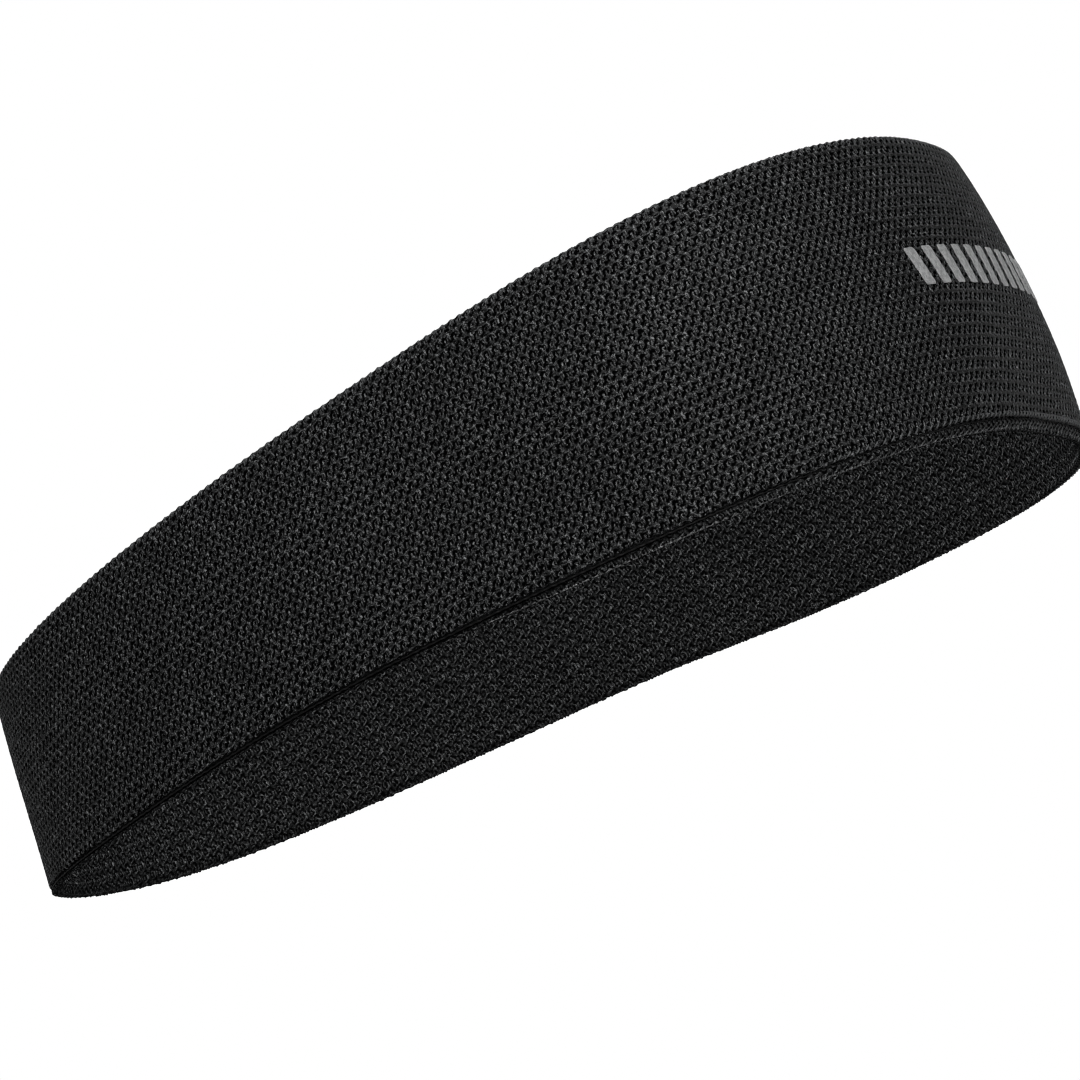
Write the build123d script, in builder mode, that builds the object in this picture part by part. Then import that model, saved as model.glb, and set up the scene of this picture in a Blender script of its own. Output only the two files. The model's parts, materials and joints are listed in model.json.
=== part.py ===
from build123d import *
import os
from math import sin, cos, pi, radians, hypot

# Sports headband: a closed, contoured loop of two knitted layers, in millimetres.
# +Z is up, the forehead faces -Y, the nape faces +Y, the wearer's right is -X.
# Origin: centre of the loop, about level with its lower edge.
# Each band is lofted over the wearer's right half, forehead to nape, and then mirrored.
# Angles are in radians, 0 at the forehead and pi at the nape.

# ---- plan of the loop ---------------------------------------------------
HALF_LENGTH = 98.0        # forehead to loop centre at the lower edge
HALF_WIDTH = 75.7         # temple to loop centre at the lower edge
EGG = 0.193               # how much wider the loop is ahead of its centre
FRONT_POWER = 2.905       # squareness of the plan curve ahead of the centre
BACK_POWER = 2.183        # squareness of the plan curve behind the centre
SECTIONS = 19             # radial sections from the forehead to the nape

# ---- shape of the wall: cosine series in the angle from the forehead -----
LOWER = (0.0, -1.38, -0.30, 0.18, 0.59, -0.15)      # height of the lower edge
UPPER = (45.73, 8.23, -1.29, -0.34, -0.14, -0.06)   # height of the upper edge
LEAN = (0.039, -0.130, -0.073, -0.034)              # inward lean per mm of height
CROWN = (0.172, 0.156, 0.030)                       # inward curve, times height squared / 100

# ---- layers -------------------------------------------------------------
LAYER_T = 0.90            # thickness of one knitted layer
LAYER_GAP = 0.25          # air between the two layers

# Depths below the outer face
OUTER_FACE = 0.0
OUTER_BACK = LAYER_T
LINING_FACE = LAYER_T + LAYER_GAP
LINING_BACK = 2 * LAYER_T + LAYER_GAP

OUTER_TOP_DROP = 0.35     # outer face below the upper edge
LINING_TOP_DROP = 0.1     # lining's hidden face below the upper edge
LINING_BACK_DROP = 0.4    # further drop to the top of the lining's inner face

GROOVE_HALF = 0.30        # half height of the groove along the lower edge
HEM_BACK = 0.20           # depth of the lining's fold below the groove, at the nape
HEM_FRONT = 1.10          # extra depth of that fold ahead of the ears
HEM_FADE_END = radians(95)    # angle where the extra depth has faded out
HEM_FADE = radians(25)        # angle over which it fades
TOE_TOP_DEPTH = 0.15      # depth of the fold's front, at its top, below the outer face
TOE_LOW_DEPTH = 0.55      # the same at its bottom

# ---- threads ------------------------------------------------------------
THREAD_R = 0.20
THREAD_CLEAR = 0.06       # gap between a surface thread and the knit
THREAD_STANDOFF = THREAD_R + THREAD_CLEAR
GROOVE_THREAD_DEPTH = 0.50    # thread centre below the outer face
BACK_SEAM_INSET = 1.0     # back seams stop this far from the lower and upper edges

# ---- reflective print ---------------------------------------------------
MARK_HALF_ARC = 40.0      # half length of the print along the forehead
MARK_END = radians(34)    # angle where the strip that the bars are cut from ends
MARK_SECTIONS = 9
MARK_LOW, MARK_HIGH = 23.4, 30.6   # its lower and upper limit in Z
MARK_BARS = 13            # slanted bars in the print
MARK_PITCH = 2 * MARK_HALF_ARC / MARK_BARS
BAR_HALF = MARK_PITCH * 0.27   # half width of a bar along the forehead
MARK_SLANT = 1.8          # how far a bar leans over the cutting height
MARK_T = 0.15             # thickness of the print
MARK_CLEAR = 0.06         # gap between the print and the knit below it
CUT_MARGIN = 1.0          # bar cutters reach this far past the strip in Z
CUT_START_Y, CUT_LENGTH = -60, 80   # cutters run forward from this Y
ARC_STEPS = 400           # steps used to measure length along the plan curve

# ---- care label ---------------------------------------------------------
LABEL_W, LABEL_H, LABEL_T = 16.0, 15.0, 0.30
LABEL_CORNER = 1.5        # radius of its lower corners
LABEL_TOP = 30.0          # height of the label's sewn edge
LABEL_GAP = 0.35          # gap to the seam thread behind the label
STITCH_INSET = 0.5        # stitch ends in from the label's sides
STITCH_LIFT = 0.6         # stitch centre above the label's sewn edge


# ---- shape of the loop --------------------------------------------------
def series(coefficients, angle):
    return sum(c * cos(i * angle) for i, c in enumerate(coefficients))


def lower(angle):
    return series(LOWER, angle)


def upper(angle):
    return series(UPPER, angle)


def smooth(x):
    """Ease from 0 to 1."""
    x = min(max(x, 0.0), 1.0)
    return x * x * (3 - 2 * x)


def base_point(angle):
    """Plan point of the lower edge."""
    ahead, side = cos(angle), sin(angle)
    power = FRONT_POWER if ahead > 0 else BACK_POWER
    scale = (abs(ahead) ** power + abs(side) ** power) ** (-1 / power)
    return -HALF_WIDTH * side * scale * (1 + EGG * ahead), -HALF_LENGTH * ahead * scale


def radial(angle):
    """Outward horizontal direction of the section."""
    x, y = -sin(angle) / HALF_WIDTH, -cos(angle) / HALF_LENGTH
    length = hypot(x, y)
    return x / length, y / length


def skew(angle):
    """Radial length of one millimetre measured square to the wall."""
    step = 1e-4
    (x0, y0), (x1, y1) = base_point(angle - step), base_point(angle + step)
    length = hypot(x1 - x0, y1 - y0)
    normal_x, normal_y = -(y1 - y0) / length, (x1 - x0) / length
    radial_x, radial_y = radial(angle)
    return 1 / abs(normal_x * radial_x + normal_y * radial_y)


def wall(angle, z):
    """Radial place of the outer face at height z, from the base point."""
    return -z * series(LEAN, angle) - series(CROWN, angle) * z * z / 100


def depth_point(angle, depth, z):
    """Section point at a depth below the outer face."""
    return wall(angle, z) - depth * skew(angle), z


def spread(start, end, count):
    """Evenly spaced values, both ends included."""
    return [start + (end - start) * i / (count - 1) for i in range(count)]


def face_line(angle, depth, z_low, z_high, count=6):
    """Section points up the wall at a depth below the outer face."""
    return [depth_point(angle, depth, z) for z in spread(z_low, z_high, count)]


def section_plane(angle):
    """Upright plane: local x points outward, local y points up."""
    (x, y), (radial_x, radial_y) = base_point(angle), radial(angle)
    return Plane(origin=(x, y, 0), x_dir=(radial_x, radial_y, 0), z_dir=(radial_y, -radial_x, 0))


def draw_outline(first, second, corners=()):
    """Inside a BuildLine: up first, down second, then through corners back to the start."""
    Polyline(*first)
    Line(first[-1], second[-1])
    Polyline(*reversed(second))
    closing = [second[0], *corners, first[0]]
    for start, end in zip(closing, closing[1:]):
        Line(start, end)


# ---- knitted layers -----------------------------------------------------
def make_outer_shell():
    with BuildPart() as shell:
        for angle in spread(0.0, pi, SECTIONS):
            z_low, z_high = lower(angle) + GROOVE_HALF, upper(angle)
            with BuildSketch(section_plane(angle)):
                with BuildLine():
                    draw_outline(face_line(angle, OUTER_FACE, z_low, z_high - OUTER_TOP_DROP),
                                 face_line(angle, OUTER_BACK, z_low, z_high))
                make_face()
        loft()
        mirror(about=Plane.YZ)
    return shell.part


def hem(angle):
    """Height of the lining's fold below the groove."""
    return HEM_BACK + HEM_FRONT * smooth((HEM_FADE_END - angle) / HEM_FADE)


def make_inner_lining():
    """Lining, with the fold that shows under the groove."""
    with BuildPart() as lining:
        for angle in spread(0.0, pi, SECTIONS):
            fold_top = lower(angle) - GROOVE_HALF
            fold_low = fold_top - hem(angle)
            z_high = upper(angle) - LINING_TOP_DROP
            toe = (depth_point(angle, TOE_LOW_DEPTH, fold_low),
                   depth_point(angle, TOE_TOP_DEPTH, fold_top))
            with BuildSketch(section_plane(angle)):
                with BuildLine():
                    draw_outline(
                        face_line(angle, LINING_FACE, fold_top, z_high),
                        face_line(angle, LINING_BACK, fold_low, z_high - LINING_BACK_DROP),
                        toe)
                make_face()
        loft()
        mirror(about=Plane.YZ)
    return lining.part


# ---- threads ------------------------------------------------------------
def make_edge_seam(edge, depth, lift):
    """Thread round the loop, raised by lift from the given edge."""
    with BuildPart() as seam:
        for angle in spread(0.0, pi, SECTIONS):
            x, z = depth_point(angle, depth, edge(angle))
            with BuildSketch(section_plane(angle)):
                with Locations((x, z + lift)):
                    RegularPolygon(THREAD_R, 6)
        loft()
        mirror(about=Plane.YZ)
    return seam.part


def make_back_seam(depth):
    """Upright thread at centre back."""
    nape_y = base_point(pi)[1]
    heights = spread(lower(pi) + BACK_SEAM_INSET, upper(pi) - BACK_SEAM_INSET, 7)
    points = [(0, nape_y + wall(pi, z) - depth, z) for z in heights]
    with BuildPart() as seam:
        with BuildLine():
            Spline(*points)
        with BuildSketch(Plane(origin=points[0], z_dir=(0, 0, 1))):
            Circle(THREAD_R)
        sweep()
    return seam.part


# ---- reflective print ---------------------------------------------------
def measure_arc():
    """Rows of (plan arc length from centre front, distance from the centre plane)."""
    rows = [(0.0, 0.0)]
    for i in range(ARC_STEPS):
        x0, y0 = base_point(MARK_END * i / ARC_STEPS)
        x1, y1 = base_point(MARK_END * (i + 1) / ARC_STEPS)
        rows.append((rows[-1][0] + hypot(x1 - x0, y1 - y0), abs(x1)))
    return rows


def x_at_arc(rows, arc):
    for (arc0, x0), (arc1, x1) in zip(rows, rows[1:]):
        if arc0 <= abs(arc) <= arc1:
            x = x0 + (x1 - x0) * (abs(arc) - arc0) / (arc1 - arc0)
            return x if arc >= 0 else -x
    raise ValueError("bar beyond the strip")


def make_front_mark():
    """Strip over the forehead, cut into bars whose tops lean to the wearer's left."""
    rows = measure_arc()
    lean = MARK_SLANT / 2
    z_low, z_high = MARK_LOW - CUT_MARGIN, MARK_HIGH + CUT_MARGIN
    with BuildPart() as mark:
        for angle in spread(0.0, MARK_END, MARK_SECTIONS):
            with BuildSketch(section_plane(angle)):
                with BuildLine():
                    draw_outline(
                        face_line(angle, -MARK_CLEAR, MARK_LOW, MARK_HIGH, 4),
                        face_line(angle, -MARK_CLEAR - MARK_T, MARK_LOW, MARK_HIGH, 4))
                make_face()
        loft()
        mirror(about=Plane.YZ)
        with BuildSketch(Plane(origin=(0, CUT_START_Y, 0), x_dir=(1, 0, 0), z_dir=(0, -1, 0))):
            for i in range(MARK_BARS):
                middle = -MARK_HALF_ARC + MARK_PITCH * (i + 0.5)
                x0 = x_at_arc(rows, middle - BAR_HALF)
                x1 = x_at_arc(rows, middle + BAR_HALF)
                with BuildLine():
                    Polyline((x0 - lean, z_low), (x1 - lean, z_low),
                             (x1 + lean, z_high), (x0 + lean, z_high), close=True)
                make_face()
        extrude(amount=CUT_LENGTH, mode=Mode.INTERSECT)
    return mark.part


# ---- care label, inside the loop at the nape ----------------------------
LINING_Y = base_point(pi)[1] + wall(pi, LABEL_TOP) - LINING_BACK
LABEL_Y = LINING_Y - 2 * THREAD_R - THREAD_CLEAR - LABEL_GAP - LABEL_T / 2   # mid thickness


def make_care_label():
    back = Plane(origin=(0, LABEL_Y + LABEL_T / 2, LABEL_TOP), x_dir=(1, 0, 0), z_dir=(0, -1, 0))
    with BuildPart() as label:
        with BuildSketch(back):
            with Locations((0, -LABEL_H / 2)):
                Rectangle(LABEL_W, LABEL_H)
        extrude(amount=LABEL_T)
        fillet(label.edges().filter_by(Axis.Y).group_by(Axis.Z)[0], LABEL_CORNER)
    return label.part


def make_care_label_stitch():
    start = (-LABEL_W / 2 + STITCH_INSET, LABEL_Y, LABEL_TOP + STITCH_LIFT)
    with BuildPart() as stitch:
        with BuildSketch(Plane(origin=start, z_dir=(1, 0, 0))):
            Circle(THREAD_R)
        extrude(amount=LABEL_W - 2 * STITCH_INSET)
    return stitch.part


# ---- build and export ---------------------------------------------------
pieces = {
    "outer_shell": make_outer_shell(),
    "inner_lining": make_inner_lining(),
    # in the groove along the lower edge
    "bottom_edge_seam": make_edge_seam(lower, GROOVE_THREAD_DEPTH, lift=0),
    # on the upper edge, over the joint of the layers
    "top_edge_seam": make_edge_seam(upper, OUTER_BACK + LAYER_GAP / 2, lift=THREAD_STANDOFF),
    "outer_back_seam": make_back_seam(OUTER_FACE - THREAD_STANDOFF),
    "lining_back_seam": make_back_seam(LINING_BACK + THREAD_STANDOFF),
    "front_mark": make_front_mark(),
    "care_label": make_care_label(),
    "care_label_stitch": make_care_label_stitch(),
}

os.makedirs("parts", exist_ok=True)
for name, part in pieces.items():
    part.label = name
    export_step(part, f"parts/{name}.step")
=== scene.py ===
"""Black knitted headband: a closed loop of an outer layer and a lining, with seam threads,
a slanted-bar print on the forehead and a satin care label.

+Z is up. The forehead faces -Y, the centre back is at +Y, and the wearer's right is -X.
Shapes are in millimetres and are turned into metres when a mesh is made.
"""
import json
from functools import reduce
from math import pi, radians

import bmesh
import bpy
import numpy as np
from mathutils import Matrix, Vector


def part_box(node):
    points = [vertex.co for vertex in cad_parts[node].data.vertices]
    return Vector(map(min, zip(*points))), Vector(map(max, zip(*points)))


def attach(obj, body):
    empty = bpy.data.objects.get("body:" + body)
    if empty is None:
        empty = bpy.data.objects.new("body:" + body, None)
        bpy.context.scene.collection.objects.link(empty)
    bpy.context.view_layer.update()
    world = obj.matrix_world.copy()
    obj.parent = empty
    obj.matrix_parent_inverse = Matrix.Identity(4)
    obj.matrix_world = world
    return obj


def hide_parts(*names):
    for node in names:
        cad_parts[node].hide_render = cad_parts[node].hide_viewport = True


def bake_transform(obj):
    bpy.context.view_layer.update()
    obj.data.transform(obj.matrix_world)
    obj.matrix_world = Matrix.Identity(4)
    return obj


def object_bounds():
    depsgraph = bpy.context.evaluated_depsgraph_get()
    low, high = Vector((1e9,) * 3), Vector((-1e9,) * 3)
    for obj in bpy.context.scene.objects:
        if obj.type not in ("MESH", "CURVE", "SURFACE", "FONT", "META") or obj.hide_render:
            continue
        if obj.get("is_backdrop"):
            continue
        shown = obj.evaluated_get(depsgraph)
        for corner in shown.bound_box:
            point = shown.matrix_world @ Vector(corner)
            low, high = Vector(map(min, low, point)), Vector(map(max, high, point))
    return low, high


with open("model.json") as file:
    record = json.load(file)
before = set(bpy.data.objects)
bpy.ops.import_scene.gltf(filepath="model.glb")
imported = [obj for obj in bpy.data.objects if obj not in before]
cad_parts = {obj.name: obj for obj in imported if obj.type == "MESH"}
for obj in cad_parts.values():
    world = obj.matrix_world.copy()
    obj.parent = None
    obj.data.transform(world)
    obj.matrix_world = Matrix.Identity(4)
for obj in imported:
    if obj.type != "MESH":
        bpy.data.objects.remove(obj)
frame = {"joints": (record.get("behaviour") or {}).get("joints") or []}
cad_lo, cad_hi = ([float(value) for value in corner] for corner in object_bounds())

MM = 0.001
SEED = 20417

# =====================================================================
# Shape of the loop
# =====================================================================
# Plan: a superellipse, squarer in front than behind, and wider in front by the egg share.
HALF_LENGTH, HALF_WIDTH, EGG = 98.0, 75.7, 0.193
FRONT_POWER, BACK_POWER = 2.905, 2.183

# Depths are measured inwards from the outer face.
LAYER_T, LAYER_GAP = 0.90, 0.25
LINING_DEPTH = LAYER_T + LAYER_GAP      # the side of the lining that meets the outer layer
LINING_FACE = 2.07                      # the side of the lining towards the head
GROOVE_HALF = 0.30
HEM_BACK, HEM_FRONT = 0.20, 1.10        # hem height behind, and what is added in front

# Cosine series round the loop, from the constant term up.
BOTTOM_TERMS = (0.0, -1.38, -0.30, 0.18, 0.59, -0.15)
TOP_TERMS = (45.73, 8.23, -1.29, -0.34, -0.14, -0.06)
LEAN_TERMS = (0.039, -0.130, -0.073, -0.034)
CROWN_TERMS = (0.172, 0.156, 0.030)


def clamp01(value):
    return np.clip(value, 0, 1)


def ease(share):
    return share * share * (3 - 2 * share)


def unit(vectors):
    return vectors / np.linalg.norm(vectors, axis=-1, keepdims=True)


def series(terms, angle):
    return sum(term * np.cos(order * angle) for order, term in enumerate(terms))


def plan_point(angle):
    """Plan curve: angle 0 is the centre front, a quarter turn the wearer's right."""
    cosine, sine = np.cos(angle), np.sin(angle)
    power = np.where(cosine > 0, FRONT_POWER, BACK_POWER)
    reach = (np.abs(cosine) ** power + np.abs(sine) ** power) ** (-1.0 / power)
    return np.stack([-HALF_WIDTH * sine * reach * (1 + EGG * cosine),
                     -HALF_LENGTH * cosine * reach], -1)


def outward(angle):
    return unit(np.stack([-np.sin(angle) / HALF_WIDTH, -np.cos(angle) / HALF_LENGTH], -1))


def skew(angle):
    """Length along the outward direction for one unit square to the plan curve."""
    step = 1e-4
    along = unit(plan_point(angle + step) - plan_point(angle - step))
    normal = np.stack([-along[..., 1], along[..., 0]], -1)
    return 1.0 / np.abs((normal * outward(angle)).sum(-1))


def wall(angle, z):
    return -z * series(LEAN_TERMS, angle) - series(CROWN_TERMS, angle) * z * z / 100.0


def bottom(angle):
    return series(BOTTOM_TERMS, angle)


def top(angle):
    return series(TOP_TERMS, angle)


def hem(angle):
    share = clamp01((radians(95) - np.abs(angle)) / radians(25))
    return HEM_BACK + HEM_FRONT * ease(share)


def place(angle, depth, z):
    """Point at an angle and height z, a depth inside the outer face."""
    base, out = plan_point(angle), outward(angle)
    reach = wall(angle, z) - depth * skew(angle)
    return np.stack([base[..., 0] + out[..., 0] * reach,
                     base[..., 1] + out[..., 1] * reach, z], -1)


# Plan arc, from the centre back round by the wearer's right to the centre back.
PLAN_ANGLE = np.linspace(pi, -pi, 40001)
PLAN_STEPS = np.linalg.norm(np.diff(plan_point(PLAN_ANGLE), axis=0), axis=1)
PLAN_ARC = np.concatenate([[0], np.cumsum(PLAN_STEPS)])
LOOP = float(PLAN_ARC[-1])
CENTRE = LOOP / 2.0                     # arc of the centre front
COLS = int(round(LOOP / 1.848))         # knit columns round the loop
PITCH_U, PITCH_V = LOOP / COLS, 2.056   # one knit cell, along and down the band

# The knit is drawn wider over the forehead, where it is pulled flat.
COLS_LOST = 8
SPREAD_ARC = np.linspace(0, LOOP, 8001)
SPREAD = ease(clamp01((62.0 - np.abs(SPREAD_ARC - CENTRE)) / 32.0))
DENSITY = 1 - COLS_LOST * PITCH_U * SPREAD / (SPREAD.mean() * LOOP)
SPREAD_COLS = np.concatenate([[0], np.cumsum((DENSITY[1:] + DENSITY[:-1]) / 2)])
SPREAD_COLS *= (COLS - COLS_LOST) / SPREAD_COLS[-1]


def angle_at(arc):
    return np.interp(np.mod(arc, LOOP), PLAN_ARC, PLAN_ANGLE)


def cols_at(arc):
    """Knit columns from the centre back to this place on the plan arc."""
    return np.interp(arc, SPREAD_ARC, SPREAD_COLS)


# =====================================================================
# The knit: one repeating cell of each face
# =====================================================================
# Lit lines of the yarns: (along, down, strength) points, in cells.
OUTER_LINES = [
    [(.26, .67, .75), (.07, .82, 1.0), (.22, .97, .95)],
    [(.20, 1.03, .85), (.20, 1.09, .85)],
    [(.21, 1.19, .80), (.19, 1.27, .80)],
    [(.69, .17, .80), (.59, .30, 1.0), (.63, .43, .85)],
    [(.95, .09, .65), (.95, .17, .65)],
    [(.93, .31, .65), (.91, .39, .65)],
    [(.43, .78, .60), (.48, .81, .60)],
    [(.79, .61, .55), (.84, .65, .55)],
    [(.48, .55, .30), (.70, .58, .30)],
    [(.72, .86, .35), (.98, .84, .60)],
]
LINING_LINES = [
    [(.35, -.06, .65), (.48, .20, 1.0), (.43, .45, .90), (.20, .54, .55), (.02, .60, .90)],
    [(.72, .11, .60), (.72, .18, .60)],
    [(.73, .31, .55), (.71, .38, .55)],
    [(.86, .80, .45), (.74, .78, .45)],
    [(.05, .02, .40), (.03, .20, .45), (.08, .33, .45)],
    [(.28, .84, .40), (.20, .90, .45)],
]
# Open places: centre along and down, half size along and down, in cells.
OUTER_HOLES = [
    (.13, .50, .17, .13), (.66, .99, .25, .11), (.79, .27, .08, .15), (.37, .37, .12, .10),
    (.42, .10, .12, .12), (.34, .65, .13, .05)]
LINING_HOLES = [
    (.21, .08, .15, .08), (.21, .40, .15, .08), (.40, .69, .22, .10), (.56, .92, .11, .11),
    (.93, .48, .10, .10), (.88, .06, .09, .10)]
# Yarns: radius in mm, then (along, down, height) points, in cells.
OUTER_YARNS = [
    (0.085, [(.28, .64, .80), (.07, .82, 1.0), (.24, .99, .96), (.20, 1.10, .90),
             (.21, 1.20, .88), (.18, 1.30, .84)]),
    (0.085, [(.70, .15, .84), (.59, .30, 1.0), (.64, .46, .90), (.76, .56, .84),
             (.84, .66, .88)]),
    (0.070, [(.95, .05, .78), (.95, .20, .90), (.91, .42, .84)]),
    (0.075, [(.28, .64, .74), (.43, .78, .84), (.60, .80, .74), (.74, .85, .78),
             (.98, .84, .90), (1.07, .82, .95)]),
    (0.070, [(.36, .52, .70), (.55, .56, .76), (.76, .58, .76)]),
]
LINING_YARNS = [
    (0.080, [(.33, -.08, .82), (.48, .20, 1.0), (.43, .45, .96), (.20, .54, .84),
             (.00, .60, .96)]),
    (0.075, [(.72, .02, .76), (.72, .20, .90), (.72, .44, .80), (.80, .62, .76),
             (1.0, .62, .92)]),
    (0.070, [(.05, -.02, .76), (.03, .20, .84), (.09, .36, .80)]),
    (0.075, [(.92, .78, .74), (.80, .80, .84), (.68, .76, .78), (.58, .66, .74)]),
    (0.070, [(.30, .82, .80), (.18, .92, .84), (.05, .98, .76)]),
]

CELL_N = 80          # samples across a cell
RELIEF = 0.30        # crest to hole
CREST = 0.10         # how far the crests stand outside the nominal face
REPEATS = [(i, j) for i in (-1, 0, 1) for j in (-1, 0, 1)]


def cell_maps(yarns, holes):
    """Height 0..1 and a yarn mask over one repeating cell."""
    axis = (np.arange(CELL_N) + 0.5) / CELL_N
    along, down = np.meshgrid(axis, axis, indexing="ij")
    height = np.full((CELL_N, CELL_N), 0.50)
    mask = np.zeros((CELL_N, CELL_N))
    for i, j in REPEATS:
        for radius, points in yarns:
            for start, end in zip(points, points[1:]):
                run_u, run_v = (end[0] - start[0]) * PITCH_U, (end[1] - start[1]) * PITCH_V
                off_u = (along - start[0] - i) * PITCH_U
                off_v = (down - start[1] - j) * PITCH_V
                share = clamp01((off_u * run_u + off_v * run_v) / (run_u ** 2 + run_v ** 2))
                gap = np.hypot(off_u - run_u * share, off_v - run_v * share) / (radius * 1.95)
                crest = start[2] + (end[2] - start[2]) * share
                # round on top, then a straight flank
                profile = np.where(gap < 1, np.sqrt(clamp01(1 - 0.62 * gap * gap)),
                                   np.sqrt(0.38) - 1.7 * (gap - 1))
                height = np.maximum(height, crest * profile)
                cover = np.clip(1.35 - gap, 0, 0.35) / 0.35
                mask = np.maximum(mask, cover * (0.45 + 0.55 * crest))
    for hole_u, hole_v, half_u, half_v in holes:
        for i, j in REPEATS:
            gap = np.hypot((along - hole_u - i) / half_u, (down - hole_v - j) / half_v)
            sink = np.clip(1.25 - gap, 0, 0.6) / 0.6
            height = np.where(mask < 0.5, height * (1 - sink), height * (1 - 0.35 * sink))
            mask = mask * (1 - 0.75 * sink * (mask < 0.6))
    return height, mask


def bilinear(grid, x, y, soften=lambda share: share):
    """Look-up in a grid that repeats both ways."""
    x0, y0 = np.floor(x).astype(int), np.floor(y).astype(int)
    share_x, share_y = soften(x - x0), soften(y - y0)
    count_x, count_y = grid.shape
    x0, x1, y0, y1 = x0 % count_x, (x0 + 1) % count_x, y0 % count_y, (y0 + 1) % count_y
    near = grid[x0, y0] * (1 - share_x) + grid[x1, y0] * share_x
    far = grid[x0, y1] * (1 - share_x) + grid[x1, y1] * share_x
    return near * (1 - share_y) + far * share_y


def lattice_noise(x, y, seed, count_x=COLS, count_y=64):
    """Smooth noise, one random value per lattice point, repeating after the counts."""
    grid = np.random.RandomState(seed).uniform(-1, 1, (count_x, count_y))
    return bilinear(grid, x, y, ease)


def knit(maps, along, down, seed):
    """Height, yarn mask and shifted cell coordinates, uneven as real stitches are."""
    def shift(seed, fine_seed):
        return (0.062 * lattice_noise(along, down, seed)
                + 0.02 * lattice_noise(along / 3.0, down / 3.0, seed + 1, COLS // 3)
                + 0.024 * lattice_noise(along * 2.0, down * 2.0, fine_seed, COLS * 2, 128))

    knit_u = along + shift(seed, seed + 5)
    knit_v = down + shift(seed + 2, seed + 6)
    x, y = np.mod(knit_u, 1.0) * CELL_N - 0.5, np.mod(knit_v, 1.0) * CELL_N - 0.5
    height, mask = (bilinear(grid, x, y) for grid in maps)
    gain = 1 + 0.08 * lattice_noise(along * 2, down * 2, seed + 4, COLS * 2)
    return np.clip(height * gain, 0, 1.12), mask, knit_u, knit_v


OUTER_MAPS = cell_maps(OUTER_YARNS, OUTER_HOLES)
LINING_MAPS = cell_maps(LINING_YARNS, LINING_HOLES)


# =====================================================================
# Mesh helpers
# =====================================================================
def new_mesh(name, verts, corners, uv, attrs=None, sizes=None):
    """Object from verts in mm, a flat list of face corners and one UV per corner.

    sizes gives the corners of each face; without it every face is a quad."""
    if sizes is None:
        sizes = np.full(len(corners) // 4, 4)
    starts = np.cumsum(sizes) - sizes
    mesh = bpy.data.meshes.new(name)
    mesh.vertices.add(len(verts))
    mesh.vertices.foreach_set("co", (verts * MM).astype(np.float32).ravel())
    mesh.loops.add(len(corners))
    mesh.loops.foreach_set("vertex_index", corners.astype(np.int32))
    mesh.polygons.add(len(sizes))
    mesh.polygons.foreach_set("loop_start", starts.astype(np.int32))
    mesh.polygons.foreach_set("loop_total", sizes.astype(np.int32))
    mesh.polygons.foreach_set("use_smooth", np.ones(len(sizes), bool))
    mesh.update(calc_edges=True)
    layer = mesh.uv_layers.new(name="OFBake")
    layer.data.foreach_set("uv", uv.astype(np.float32).ravel())
    for key, values in (attrs or {}).items():
        is_vector = values.ndim == 3
        kind, field = ("FLOAT_VECTOR", "vector") if is_vector else ("FLOAT", "value")
        attribute = mesh.attributes.new(key, kind, "POINT")
        attribute.data.foreach_set(field, values.astype(np.float32).ravel())
    mesh.validate()
    ob = bpy.data.objects.new(name, mesh)
    bpy.context.scene.collection.objects.link(ob)
    return ob


def face_outwards(ob):
    """Turns every face outwards, part by part."""
    mesh = bmesh.new()
    mesh.from_mesh(ob.data)
    bmesh.ops.recalc_face_normals(mesh, faces=mesh.faces)
    mesh.to_mesh(ob.data)
    mesh.free()


def grid_quads(count_u, count_v, cells_u, cells_v):
    """Cell indices and quads on a lattice of count_u x count_v points that wraps."""
    i, j = np.meshgrid(np.arange(cells_u), np.arange(cells_v), indexing="ij")
    next_i, next_j = (i + 1) % count_u, (j + 1) % count_v
    quads = np.stack([i * count_v + j, next_i * count_v + j,
                      next_i * count_v + next_j, i * count_v + next_j], -1)
    return i, j, quads.reshape(-1, 4)


def corner_uv(u_a, u_b, v_a, v_b):
    """UVs of the four corners of each quad, from its limits."""
    u_a, u_b, v_a, v_b = np.broadcast_arrays(u_a, u_b, v_a, v_b)
    pairs = ((u_a, v_a), (u_b, v_a), (u_b, v_b), (u_a, v_b))
    return np.stack([np.stack(pair, -1) for pair in pairs], -2).reshape(-1, 4, 2)


def cut_in_strips(i, count, strips):
    """Strip number and the two u limits of cell i, for a long ring cut into strips."""
    per_strip = -(-count // strips)
    strip = i // per_strip
    return strip, (i - strip * per_strip) / per_strip, (i - strip * per_strip + 1) / per_strip


def grid_loop(name, points, row_v, attrs):
    """A closed ring of closed sections; points is (columns, rows, 3).

    row_v gives each row its height 0..1 inside a strip of the layout, and one more value."""
    strips, margin = 3, 0.004
    count_u, count_v = points.shape[:2]
    i, j, quads = grid_quads(count_u, count_v, count_u, count_v)
    strip, u_a, u_b = cut_in_strips(i, count_u, strips)
    u_a, u_b = (margin + limit * (1 - 2 * margin) for limit in (u_a, u_b))
    v_a, v_b = ((strip + 0.01 + 0.98 * row_v[row]) / strips for row in (j, j + 1))
    uv = corner_uv(u_a, u_b, v_a, v_b)
    # winding from the signed volume
    verts = points.reshape(-1, 3)
    first, second, third = (verts[quads[:, k]] for k in (0, 1, 2))
    if np.einsum("ij,ij->i", first, np.cross(second, third)).sum() < 0:
        quads, uv = quads[:, ::-1], uv[:, ::-1]
    return new_mesh(name, verts, quads.ravel(), uv, attrs)


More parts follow.
